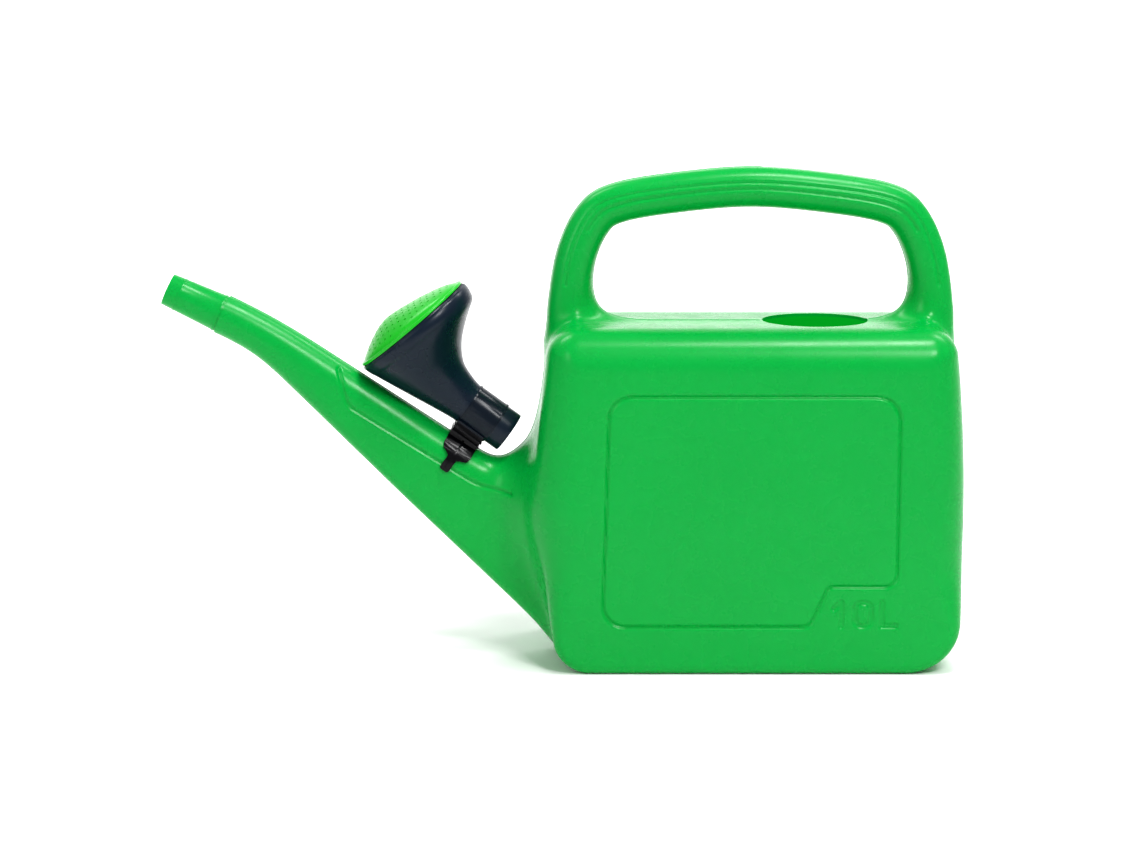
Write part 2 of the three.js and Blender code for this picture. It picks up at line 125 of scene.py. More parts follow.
ROSE_SLOPE = math.radians(36)
NECK_RADIUS = 14
ROSE_WALL = 1.8
SOCKET_HIGH, SOCKET_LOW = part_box("rose_funnel")[1][0] / MM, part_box("rose_funnel")[0][2] / MM
SOCKET_END = (
    SOCKET_HIGH - NECK_RADIUS * math.sin(ROSE_SLOPE),
    SOCKET_LOW + NECK_RADIUS * math.cos(ROSE_SLOPE),
)
NECK_SEAT = (-2, 2)        # the neck's own zero lies here from the socket's end, along and across the neck
RIM_LOW, RIM_HIGH = (115.3, -22.6), (92.2, 70.4)     # along the neck, then across it
FACE_HALF_WIDE = 42
FACE_WALL = 1.5
SPRAY_PITCH = 6
SPRAY_ROW = SPRAY_PITCH * math.sqrt(3) / 2
SPRAY_START = 8.5          # the first row of holes, up from the rim's lower end
SPRAY_MARGIN = 7           # the ring without holes inside the rim
SPRAY_RADIUS = 0.95
NECK_ABOVE_RAIL = 24
CLIP_START, CLIP_END = 10.5, 35.5
CLIP_MIDDLE = (CLIP_START + CLIP_END) / 2
CLIP_WALL = 2
CLIP_GAP = 0.4
RAIL_SUNK = 0.6            # how far the spout's back lies inside the arch that the clip is fitted to
RIB_PROUD = 1.0
LIP_HALF, LIP_PROUD = 0.7, 0.5
TAB_DROP = 48.5
TURN = -1                  # with no window, the rotate operator turns the other way


# ---- the can's outer skin, as a distance in millimetres that is below zero inside --------------------
def fillet(a, b, radius):
    """Inside both walls a and b, with a rounded outer corner."""
    corner = np.hypot(np.maximum(a + radius, 0), np.maximum(b + radius, 0))
    return np.minimum(np.maximum(a, b), -radius) + corner


def weld(a, b, reach):
    """Inside either of a and b, with a soft hollow between them."""
    near = np.maximum(reach - np.abs(a - b), 0) / reach
    return np.minimum(a, b) - near**3 * reach / 6


def ease(value, low, high):
    """Goes smoothly from 0 at low to 1 at high."""
    share = np.clip((value - low) / (high - low), 0, 1)
    return share * share * (3 - 2 * share)


def along_line(points, count):
    """A Catmull-Rom curve through points, as count samples."""
    points = [np.array(p, float) for p in points]
    samples = []
    for share in np.linspace(0, len(points) - 1, count):
        i = min(int(share), len(points) - 2)
        t = share - i
        a, b = points[max(i - 1, 0)], points[i]
        c, d = points[i + 1], points[min(i + 2, len(points) - 1)]
        v0, v1 = (c - a) / 2, (d - b) / 2
        samples.append((2 * b - 2 * c + v0 + v1) * t**3 + (3 * c - 3 * b - 2 * v0 - v1) * t**2 + v0 * t + b)
    return np.array(samples)


def rounded(corners, closed=False, steps=6):
    """A line through corners, each (x, z, radius), with its corners turned into arcs."""
    line = []
    total = len(corners)
    for i, (x, z, radius) in enumerate(corners):
        here = np.array([x, z], float)
        if not closed and i in (0, total - 1):
            line.append(here)
            continue
        back = np.array(corners[i - 1][:2]) - here
        ahead = np.array(corners[(i + 1) % total][:2]) - here
        back, ahead = back / np.linalg.norm(back), ahead / np.linalg.norm(ahead)
        half = math.acos(np.clip(back @ ahead, -1, 1)) / 2
        run = radius / math.tan(half)
        middle = here + (back + ahead) / np.linalg.norm(back + ahead) * radius / math.sin(half)
        first = here + back * run - middle
        last = here + ahead * run - middle
        turn = math.atan2(first[0] * last[1] - first[1] * last[0], first @ last)
        for share in np.linspace(0, turn, steps + 1):
            c, s = math.cos(share), math.sin(share)
            line.append(middle + np.array([c * first[0] - s * first[1], s * first[0] + c * first[1]]))
    if closed:
        line.append(line[0])
    return np.array(line)


def from_line(x, z, line):
    """How far each (x, z) is from a line in the can's side view."""
    best = np.full(x.shape, 1e9)
    for a, b in zip(line[:-1], line[1:]):
        run = b - a
        length = max(run @ run, 1e-9)
        share = np.clip(((x - a[0]) * run[0] + (z - a[1]) * run[1]) / length, 0, 1)
        best = np.minimum(best, (x - a[0] - share * run[0]) ** 2 + (z - a[1] - share * run[1]) ** 2)
    return np.sqrt(best)


def handle_line(shift=0.0):
    """The handle's middle line from the left foot to the right one, moved outwards by shift."""
    half = HANDLE_THICK / 2 - shift
    left = TANK_LOW[0] + END_SWELL - LEFT_LEG_OUT
    right = TANK_HIGH[0] - END_SWELL - RIGHT_LEG_IN
    grip = TANK_HEIGHT + HANDLE_RISE - half
    leg = []
    for lean, rise in LEG_POINTS:
        z = TANK_HEIGHT + HANDLE_RISE * rise
        lift = min(max(z - TANK_HEIGHT - LIFT_FROM, 0) / LIFT_OVER, 1)
        leg.append((half + HANDLE_LEAN * lean, z + shift * lift))
    leg.append((half + HANDLE_LEAN * SHOULDER_LEAN, grip - HANDLE_RISE * SHOULDER_DROP))
    points = [(left + x, z) for x, z in leg] + [((left + right) / 2, grip)]
    points += [(right - x, z) for x, z in reversed(leg)]
    return along_line(points, HANDLE_STEPS)


def tank_field(x, y, z):
    """The tank, whose end walls swell and whose upright edges are sharper near the base."""
    lean = LEFT_LEAN * ease(z, *LEFT_LEAN_SPAN)
    left = TANK_LOW[0] + lean + END_SWELL * ((z - LEFT_SWELL_AT) / LEFT_SWELL_REACH) ** 2 - x
    right = x - TANK_HIGH[0] + RIGHT_INSET + END_SWELL * ((z - RIGHT_SWELL_AT) / RIGHT_SWELL_REACH) ** 2
    upper = z > TANK_HEIGHT / 2
    corner = np.where(upper, TOP_CORNER, np.where(x > 0, RIGHT_FOOT, LEFT_FOOT))
    side_view = fillet(np.maximum(left, right), np.maximum(z - TANK_HEIGHT, -z), corner)
    radius = FOOT_FILLET + (SIDE_FILLET - FOOT_FILLET) * ease(z, *FILLET_SPAN)
    return fillet(side_view, np.abs(y) - TANK_HALF_DEPTH, radius)


def handle_field(x, y, z, line):
    """The handle, a rounded bar along its middle line."""
    return fillet(from_line(x, z, line) - HANDLE_THICK / 2, np.abs(y) - HANDLE_DEEP / 2, HANDLE_ROUND)


def above(x, z, point, slope):
    """How far (x, z) is above a line that falls to the right at a slope."""
    return (x - point[0]) * math.sin(slope) + (z - point[1]) * math.cos(slope)


def spout_field(x, y, z):
    """The spout, which is round at its collar and deepens into a round back over a narrower keel."""
    step = MOUTH + TIP_WAY * TIP_LENGTH
    run = (x - step[0]) * TIP_WAY[0] + (z - step[1]) * TIP_WAY[1]
    axis = above(x, z, MOUTH, TIP_SLOPE)
    top = -weld(COLLAR_RADIUS - axis, -above(x, z, RAIL_START, RAIL_SLOPE), RAIL_BEND)
    bottom = weld(-axis - COLLAR_RADIUS, -above(x, z, KEEL_POINT, KEEL_SLOPE), KEEL_BEND)
    share = np.clip((run - WIDEN_FROM) / WIDEN_OVER, 0, 1)
    half_deep = COLLAR_RADIUS + (RAIL_HALF_DEEP - COLLAR_RADIUS) * share
    keel = COLLAR_RADIUS + (KEEL_ROUND - COLLAR_RADIUS) * ease(run, *KEEL_SPAN)
    side = np.abs(y) - half_deep
    tube = np.maximum(fillet(top, side, half_deep), fillet(bottom, side, keel))
    return np.maximum(np.maximum(tube, -run - SPOUT_EARLY), x - TANK_LOW[0] - SPOUT_INTO_TANK)


def can_field(p, line):
    """The tank, spout and handle grown together, on a flat base. The line is the handle's own."""
    x, y, z = p[..., 0], p[..., 1], p[..., 2]
    tank = tank_field(x, y, z)
    over_handle = ease(np.abs(y), HANDLE_DEEP / 2 + ROOT_SIDE_REACH, 0)
    root = ROOT_BLEND * (ROOT_SIDE_SHARE + (1 - ROOT_SIDE_SHARE) * over_handle)
    from_middle = np.abs(x - (TANK_LOW[0] + TANK_HIGH[0]) / 2)
    root = root * (1 - ROOT_END_LOSS * ease(from_middle, *ROOT_END_SPAN))
    valley = FOOT_BLEND + (SPOUT_BLEND - FOOT_BLEND) * ease(z, *VALLEY_SPAN)
    valley = valley * (CLIP_SHARE + (1 - CLIP_SHARE) * ease(x, *CLIP_SPAN))
    body = weld(weld(tank, spout_field(x, y, z), valley), handle_field(x, y, z, line), root)
    return np.maximum(body, -z)


# ---- what is pressed into the skin -------------------------------------------------------------------
PANEL_TOP, PANEL_FOOT = 205.5, 36.0
PANEL_RIGHT, NOTCH_TOP = 102.5, 66.0
PANEL = rounded([
    (-106.7, PANEL_TOP, 17), (PANEL_RIGHT, PANEL_TOP, 17), (PANEL_RIGHT, NOTCH_TOP, 9),
    (53, NOTCH_TOP, 5), (39.5, PANEL_FOOT, 7), (-111.5, PANEL_FOOT, 16),
], closed=True)
OUTER_GROOVE = handle_line(shift=4.2)      # a channel with two edges runs round the grip
OUTER_GROOVE = OUTER_GROOVE[OUTER_GROOVE[:, 1] > TANK_HEIGHT + 25]
INNER_GROOVE = handle_line(shift=-0.4)
INNER_GROOVE = INNER_GROOVE[INNER_GROOVE[:, 1] > TANK_HEIGHT + 66]
SPOUT_GROOVE = rounded([
    (-306, 217, 0), (-300, 190.5, 17), (-204, 131, 34), (-179, 126, 0),
])
MARK_FOOT, MARK_HEIGHT, MARK_STROKE = 34.5, 22.0, 4.6


def capacity_mark():
    """A plain 10 L as the middle lines of its strokes."""
    low, high = MARK_FOOT + MARK_STROKE / 2, MARK_FOOT + MARK_HEIGHT - MARK_STROKE / 2
    one = np.array([(57, high - 4.5), (62.5, high), (62.5, low)])
    ring = rounded([(72.5, low, 5), (72.5, high, 5), (84, high, 5), (84, low, 5)], closed=True)
    letter = np.array([(92, high), (92, low), (102, low)])
    return [one, ring, letter]


def pressed(p):
    """How deep the grooves are at each point of the skin, and how near each point is to one."""
    x, y, z = p[:, 0], p[:, 1], p[:, 2]
    depth = np.zeros(len(p))
    near = np.full(len(p), 1e9)
    tank_face = np.abs(y) > TANK_HALF_DEPTH - 3
    front = y < 0
    grip = (np.abs(y) > HANDLE_DEEP / 2 - 4) & (z > TANK_HEIGHT + 8)
    beside_spout = (np.abs(y) > 5) & (x < TANK_LOW[0] - 5)
    # each groove's line, depth, half width, flat share of that, and where it may lie
    grooves = [
        (PANEL, 1.7, 2.3, 0.0, tank_face),
        (OUTER_GROOVE, 1.0, 1.9, 0.0, grip),
        (INNER_GROOVE, 1.0, 1.9, 0.0, grip),
        (SPOUT_GROOVE, 1.4, 2.3, 0.0, beside_spout),
    ]
    for stroke in capacity_mark():
        grooves.append((stroke, 1.2, MARK_STROKE / 2 + 0.5, 0.35, tank_face & front))
    for line, deep, half, flat, where in grooves:
        picked = np.where(where)[0]
        gap = from_line(x[picked], z[picked], line)
        profile = ease(gap, half, half * flat)
        depth[picked] = np.maximum(depth[picked], deep * profile)
        near[picked] = np.minimum(near[picked], gap - half)
    return depth, near


def settle(p, line, rounds=4, grooves=True):
    """Moves points along the field's slope until they lie on the skin; also returns the slope."""
    step = 0.25
    for _ in range(rounds):
        value = can_field(p, line)
        slope = np.stack([
            (can_field(p + offset, line) - can_field(p - offset, line)) / (2 * step)
            for offset in np.eye(3) * step
        ], axis=1)
        size = np.maximum((slope**2).sum(axis=1), 0.05)
        p = p - slope * (value / size)[:, None]
    normal = slope / np.linalg.norm(slope, axis=1)[:, None]
    if grooves:
        p = p - normal * pressed(p)[0][:, None]
    return p, normal


# ---- small helpers -----------------------------------------------------------------------------------
def activate(obj):
    """Leaves edit mode and makes obj the only selected object."""
    if bpy.context.object and bpy.context.object.mode != "OBJECT":
        bpy.ops.object.mode_set(mode="OBJECT")
    bpy.ops.object.select_all(action="DESELECT")
    obj.select_set(True)
    bpy.context.view_layer.objects.active = obj


def apply_all(obj):
    """Applies the object's place and every modifier."""
    activate(obj)
    bpy.ops.object.transform_apply(location=True, rotation=True, scale=True)
    for modifier in list(obj.modifiers):
        bpy.ops.object.modifier_apply(modifier=modifier.name)
    return obj


def cut(obj, tool, operation="DIFFERENCE"):
    """Joins, cuts or intersects obj with a tool, which is then deleted."""
    activate(obj)
    modifier = obj.modifiers.new("cut", "BOOLEAN")
    modifier.operation = operation
    modifier.object = tool
    modifier.solver = "EXACT"
    bpy.ops.object.modifier_apply(modifier=modifier.name)
    bpy.data.objects.remove(tool)
    return obj


def mesh_object(name, points, faces):
    """A new object from points, in metres, and faces."""
    mesh = bpy.data.meshes.new(name)
    mesh.from_pydata([tuple(p) for p in points], [], [tuple(f) for f in faces])
    mesh.update()
    obj = bpy.data.objects.new(name, mesh)
    bpy.context.collection.objects.link(obj)
    return obj


def rod(name, start, end, radius, end_radius=None, sides=64):
    """A cylinder or a cone between two points, in metres."""
    start, end = Vector(start), Vector(end)
    way = end - start
    bpy.ops.object.select_all(action="DESELECT")
    bpy.ops.mesh.primitive_cone_add(
        vertices=sides, radius1=radius, radius2=radius if end_radius is None else end_radius,
        depth=way.length, location=(start + end) / 2, rotation=way.to_track_quat("Z", "Y").to_euler(),
    )
    obj = bpy.context.object
    obj.name = name
    return apply_all(obj)


def soften(obj, width, segments=2):
    """Rounds the sharp edges and shades the rest smooth."""
    angle = 35
    activate(obj)
    modifier = obj.modifiers.new("soften", "BEVEL")
    modifier.width = width
    modifier.segments = segments
    modifier.limit_method = "ANGLE"
    modifier.angle_limit = math.radians(angle)
    bpy.ops.object.modifier_apply(modifier=modifier.name)
    return smooth(obj, angle)


def smooth(obj, angle):
    """Shades obj smooth but for the edges sharper than angle, in degrees."""
    activate(obj)
    bpy.ops.object.shade_smooth_by_angle(angle=math.radians(angle), keep_sharp_edges=False)
    return obj


def tidy_mesh(obj):
    """Joins points that coincide and turns every face outwards."""
    activate(obj)
    bpy.ops.object.mode_set(mode="EDIT")
    bpy.ops.mesh.select_all(action="SELECT")
    bpy.ops.mesh.remove_doubles(threshold=1e-6)
    bpy.ops.mesh.normals_make_consistent(inside=False)
    bpy.ops.object.mode_set(mode="OBJECT")
    return obj


def side_point(x, z):
    """A point of the can's side view, in metres."""
    return Vector((x * MM, 0, z * MM))


# ---- the can -----------------------------------------------------------------------------------------
def skin_at(pitch, inset, line):
    """The can's skin, drawn in by inset, as a mesh of about pitch millimetres."""
    room = 8
    low = np.array([MOUTH[0] - 20, -TANK_HALF_DEPTH - room, -room])
    high = np.array([TANK_HIGH[0] + room, TANK_HALF_DEPTH + room, TANK_HEIGHT + HANDLE_RISE + room])
    axes = [np.arange(a, b + pitch, pitch) for a, b in zip(low, high)]
    axes[1] = (np.arange(len(axes[1])) - (len(axes[1]) - 1) / 2) * pitch
    grid = np.stack(np.meshgrid(*axes, indexing="ij"), axis=-1)
    field = can_field(grid, line) + inset
    volume = openvdb.FloatGrid(1e3)
    volume.copyFromArray(field.astype(np.float32))
    points, quads = volume.convertToQuads(isovalue=0.0)
    points = np.array(points, float) * pitch + [axis[0] for axis in axes]
    return points, np.array(quads)


def even_out(points, faces, line):
    """Slides the points along the skin until the mesh is even."""
    slide = 0.6
    pairs = np.concatenate([faces[:, [i, (i + 1) % 4]] for i in range(4)])
    pairs = np.unique(np.sort(pairs, axis=1), axis=0)
    for _ in range(2):
        total = np.zeros_like(points)
        count = np.zeros(len(points))
        for a, b in ((0, 1), (1, 0)):
            np.add.at(total, pairs[:, a], points[pairs[:, b]])
            np.add.at(count, pairs[:, a], 1)
        points = points * (1 - slide) + total / count[:, None] * slide
        points, _ = settle(points, line, rounds=1, grooves=False)
    return points


def read_points(obj):
    """The object's points, in millimetres."""
    flat = np.empty(len(obj.data.vertices) * 3)
    obj.data.vertices.foreach_get("co", flat)
    return flat.reshape(-1, 3) / MM


def write_points(obj, points):
    """Moves the object's points to new places, in millimetres."""
    obj.data.vertices.foreach_set("co", (points * MM).ravel())
    obj.data.update()


def split_near_grooves(obj, margin):
    """Halves the edges of the faces that lie within margin of a groove."""
    activate(obj)
    centres = np.empty(len(obj.data.polygons) * 3)
    obj.data.polygons.foreach_get("center", centres)
    near = pressed(centres.reshape(-1, 3) / MM)[1] < margin
    bpy.ops.object.mode_set(mode="EDIT")
    bpy.ops.mesh.select_mode(type="FACE")
    bpy.ops.mesh.select_all(action="DESELECT")
    bpy.ops.object.mode_set(mode="OBJECT")
    obj.data.polygons.foreach_set("select", near)
    bpy.ops.object.mode_set(mode="EDIT")
    bpy.ops.mesh.subdivide(number_cuts=1)
    bpy.ops.object.mode_set(mode="OBJECT")


def stand_up_the_seam(can, line):
    """Raises the thin flash line that the two halves of the mould leave all round the can."""
    activate(can)
    bpy.ops.object.mode_set(mode="EDIT")
    for side in (-1, 0, 1):
        bpy.ops.mesh.select_all(action="SELECT")
        bpy.ops.mesh.bisect(plane_co=(0, side * SEAM_WIDTH / 2 * MM, 0), plane_no=(0, 1, 0))
    bpy.ops.object.mode_set(mode="OBJECT")
    points = read_points(can)
    from_filler = np.hypot(points[:, 0] - FILLER_X, points[:, 1])
    on_rim = (from_filler < FILLER_RADIUS + SEAM_FROM_FILLER) & (points[:, 2] > TANK_HEIGHT - CUT_ROOM)
    crest = (np.abs(points[:, 1]) < 0.02) & (can_field(points, line) > -0.5) & ~on_rim
    crest &= points[:, 0] > MOUTH[0] + TIP_LENGTH
    _, normal = settle(points[crest], line, rounds=1, grooves=False)
    points[crest] += normal * SEAM_HEIGHT
    write_points(can, points)


def make_can():
    """The blown can: an outer skin and its lining, open at the filler and at the spout's step."""
    line = handle_line()
    points, quads = skin_at(SKIN_PITCH, 0.0, line)
    points, _ = settle(points, line, rounds=2, grooves=False)
    points = even_out(points, quads, line)
    can = mesh_object("can", points * MM, quads)
    can.data.materials.append(can_green)
    can.data.materials.append(lining_green_painted_glow)
    for margin in GROOVE_MARGINS:
        split_near_grooves(can, margin)
    points, _ = settle(read_points(can), line)
    write_points(can, points)
    tidy_mesh(can)

    points, quads = skin_at(LINING_PITCH, SKIN, line)
    lining = tidy_mesh(mesh_object("lining", points * MM, quads))
    lining.data.materials.append(can_green)
    lining.data.materials.append(lining_green_painted_glow)
    lining.data.polygons.foreach_set("material_index", np.ones(len(lining.data.polygons), dtype=np.int32))
    cut(can, lining)
    under, over = side_point(FILLER_X, TANK_HEIGHT - CUT_ROOM), side_point(FILLER_X, TANK_HEIGHT + CUT_ROOM)
    cut(can, rod("filler", under, over, FILLER_RADIUS * MM, sides=160))
    step = MOUTH + TIP_WAY * TIP_LENGTH
    beyond = step - TIP_WAY * PAST_TIP
    cut(can, rod("opening", side_point(*step), side_point(*beyond), COLLAR_RADIUS * 2 * MM))
    stand_up_the_seam(can, line)
    return smooth(can, 50)


def make_spout_tip():
    """The tapered seat that the rose pushes onto, with a rolled lip at its mouth."""
    lap = 1.5
    room = 5
    end = MOUTH + TIP_WAY * (TIP_LENGTH + lap)
    ends = side_point(*MOUTH), side_point(*end)
    tip = rod("spout_tip_seat", *ends, MOUTH_RADIUS * MM, SEAT_RADIUS * MM, sides=96)
    for along, proud in BEADS:
        near, far = MOUTH + TIP_WAY * along, MOUTH + TIP_WAY * (along + BEAD_WIDTH)
        radius = MOUTH_RADIUS + (SEAT_RADIUS - MOUTH_RADIUS) * along / TIP_LENGTH + proud
        cut(tip, rod("bead", side_point(*near), side_point(*far), radius * MM, sides=96), "UNION")
    before, after = MOUTH - TIP_WAY * room, end + TIP_WAY * room
    cut(tip, rod("bore", side_point(*before), side_point(*after), (MOUTH_RADIUS - SKIN) * MM, sides=96))
    return soften(tip, 0.7 * MM, segments=3)


# ---- the rose, drawn along its own neck --------------------------------------------------------------
def to_neck(u, v):
    """A point of the rose's own side view, in metres: u along the neck and v across it."""
    return Vector((u * MM, 0, v * MM))


def neck_to_can():
    """Carries the rose's own frame, X along the neck and Z up across it, to where it is parked."""
    turn = Matrix((
        (-math.cos(ROSE_SLOPE), 0, math.sin(ROSE_SLOPE)),
        (0, -1, 0),
        (math.sin(ROSE_SLOPE), 0, math.cos(ROSE_SLOPE)),
    )).to_4x4()
    return Matrix.Translation(side_point(*SOCKET_END)) @ turn @ Matrix.Translation(to_neck(*NECK_SEAT))


def park(obj):
    """Carries a finished piece of the rose or clip to its place above the spout."""
    activate(obj)
    obj.data.transform(neck_to_can())
    obj.data.update()
    return obj


class Rings:
    """A skin that is drawn out ring by ring. Each ring is an oval across the plane of low and high."""

    def __init__(self, name, sides, low, high, wide):
        bpy.ops.object.select_all(action="DESELECT")
        bpy.ops.mesh.primitive_circle_add(vertices=sides, radius=1, rotation=(0, math.pi / 2, 0))
        self.obj = bpy.context.object
        self.obj.name = name
        bpy.ops.object.transform_apply(location=True, rotation=True, scale=True)
        bpy.ops.object.mode_set(mode="EDIT")
        bpy.ops.mesh.select_mode(type="VERT")
        bpy.ops.mesh.select_all(action="SELECT")
        self.middle, self.lean, self.long, self.wide = Vector(), 0.0, 1.0, 1.0
        self.place(low, high, wide)

    def place(self, low, high, wide):
        """Moves the selected ring so that it spans low to high, and is wide to each side."""
        low, high = to_neck(*low), to_neck(*high)
        middle, across = (low + high) / 2, high - low
        lean = math.atan2(across.x, across.z)
        at = tuple(self.middle)
        bpy.ops.transform.rotate(value=-self.lean * TURN, orient_axis="Y", center_override=at)
        size = (1, wide * MM / self.wide, across.length / 2 / self.long)
        bpy.ops.transform.resize(value=size, center_override=at)
        bpy.ops.transform.rotate(value=lean * TURN, orient_axis="Y", center_override=at)
        bpy.ops.transform.translate(value=middle - self.middle)
        self.middle, self.lean, self.long, self.wide = middle, lean, across.length / 2, wide * MM

    def draw(self, rings):
        """Draws the skin out through each ring in turn."""
        for low, high, wide in rings:
            bpy.ops.mesh.extrude_region_move()
            self.place(low, high, wide)

    def done(self, close=False):
        """Ends the drawing, with the last ring closed over or left open."""
        if close:
            bpy.ops.mesh.extrude_region_move()
            bpy.ops.mesh.merge(type="CENTER")
        bpy.ops.object.mode_set(mode="OBJECT")
        return tidy_mesh(self.obj)


def thicken(obj, wall):
    """Gives a skin a wall on its inner side."""
    activate(obj)
    modifier = obj.modifiers.new("wall", "SOLIDIFY")
    modifier.thickness = wall
    modifier.offset = -1
    bpy.ops.object.modifier_apply(modifier=modifier.name)
    return obj


def refine(obj):
    """Rounds a mesh by one subdivision."""
    activate(obj)
    modifier = obj.modifiers.new("refine", "SUBSURF")
    modifier.levels = 1
    modifier.render_levels = 1
    bpy.ops.object.modifier_apply(modifier=modifier.name)
    return obj


def make_funnel():
    """The rose's neck, which opens out into a lopsided funnel with a rim. Each ring is low, high, wide."""
    radius = NECK_RADIUS
    rings = Rings("rose_funnel_skin", 48, (-1.5, -radius), (-1.5, radius), radius)
    rings.draw([
        ((-0.7, -radius), (-0.7, radius), radius), ((20, -radius), (20, radius), radius),
        ((35, -radius), (35, radius), radius), ((42, -14.4), (40.3, 15.0), 14.9),
        ((50, -15.2), (46.7, 16.9), 16.4), ((60, -16.4), (55.3, 20.0), 19.0),
        ((69, -17.5), (61.6, 25.0), 22.2), ((79, -18.6), (68.4, 33.6), 26.6),
        ((86, -19.4), (71.8, 40.6), 30.4), ((94, -20.3), (76.0, 50.8), 34.6),
        ((100, -20.9), (78.4, 58.6), 37.4), ((104.6, -21.5), (79.9, 64.6), 38.8),
        ((106.2, -21.7), (81.4, 66.2), 39.5), ((106.9, -21.9), (84.0, 67.4), 41.1),
        ((108.6, -22.1), (86.5, 69.0), 41.7),
        (RIM_LOW, RIM_HIGH, FACE_HALF_WIDE - 0.2), (RIM_LOW, RIM_HIGH, FACE_HALF_WIDE),
    ])
    funnel = rings.done()
    thicken(funnel, ROSE_WALL * MM)
    refine(funnel)
    return smooth(park(funnel), 45)


def make_face():
    """The domed face: a rim with a groove behind it, and a dome whose top lies nearer the lower end."""
    low, high = np.array(RIM_LOW), np.array(RIM_HIGH)
    length = np.linalg.norm(high - low)
    along = (high - low) / length
    out = np.array([along[1], -along[0]])

    def ring(height, start, end, narrow=None):
        """A ring at a height over the rim's plane. With no narrow, its width follows its length."""
        if narrow is None:
            wide = FACE_HALF_WIDE * ((end - start) / length) ** 0.9
        else:
            wide = FACE_HALF_WIDE - narrow
        return tuple(low + out * height + along * start), tuple(low + out * height + along * end), wide

    rings = Rings("rose_face_skin", 64, *ring(0.2, 0.3, length - 0.3, 0.3))
    rings.draw([
        ring(0.5, 0, length, 0), ring(2.0, 0, length, 0), ring(2.5, 0.4, length - 0.4, 0.4),
        ring(2.7, 1.6, length - 1.6, 1.6), ring(2.1, 2.1, length - 2.1, 2.1),
        ring(2.1, 2.8, length - 2.8, 2.8), ring(3.2, 3.3, length - 3.3, 3.3),
        ring(4.8, 5.4, length - 5.8), ring(7.2, 9.6, length - 11.5), ring(10, 15, length - 20.5),
        ring(12.7, 20.8, length - 32.5), ring(14.8, 26.4, length - 43.6),
        ring(16, 31.2, length - 52.0), ring(16.5, 35.4, length - 57.0),
    ])
    face = thicken(rings.done(close=True), FACE_WALL * MM)
    refine(face)

    half_row = int(FACE_HALF_WIDE / SPRAY_PITCH)
    drill = None
    for row in range(int(length / SPRAY_ROW) + 1):
        up = SPRAY_START + row * SPRAY_ROW
        for place in range(-half_row, half_row + 1):
            y = (place + 0.5 * (row % 2)) * SPRAY_PITCH
            along_share = (up - length / 2) / (length / 2 - SPRAY_MARGIN)
            if math.hypot(along_share, y / (FACE_HALF_WIDE - SPRAY_MARGIN)) > 1:
                continue
            aside = Vector((0, y * MM, 0))
            start = to_neck(*(low + along * up - out * 2)) + aside
            end = to_neck(*(low + along * up + out * 20)) + aside
            pin = rod("pin", start, end, SPRAY_RADIUS * MM, sides=10)
            if drill is None:
                drill = pin
            else:
                activate(drill)
                pin.select_set(True)
                bpy.ops.object.join()
    cut(face, drill)
    return smooth(park(face), 38)


# ---- the clip ----------------------------------------------------------------------------------------
def prism(name, outline, half_wide):
    """A plate whose side view is the outline, run right across."""
    points = [to_neck(u, v) for u, v in outline]
    count = len(points)
    both = [p + Vector((0, y * MM, 0)) for y in (-half_wide, half_wide) for p in points]
    faces = [tuple(range(count)), tuple(range(2 * count - 1, count - 1, -1))]
    faces += [(i, i + count, (i + 1) % count + count, (i + 1) % count) for i in range(count)]
    return tidy_mesh(mesh_object(name, both, faces))


def arch(name, extra):
    """The spout's round back under the clip, grown by extra: a rounded bar with straight sides."""
    room, side_drop = 8, 30
    half = RAIL_HALF_DEEP - RAIL_SUNK + extra
    lean = ROSE_SLOPE - RAIL_SLOPE
    centre_v = -NECK_ABOVE_RAIL - RAIL_HALF_DEEP + RAIL_SUNK
    runs = (CLIP_START - room, CLIP_END + room)
    near, far = ((u, centre_v - (u - CLIP_MIDDLE) * math.tan(lean)) for u in runs)
    bar = rod(name, to_neck(*near), to_neck(*far), half * MM, sides=96)
    sides = prism("sides", [near, far, (far[0], far[1] - side_drop), (near[0], near[1] - side_drop)], half)
    return cut(bar, sides, "UNION")


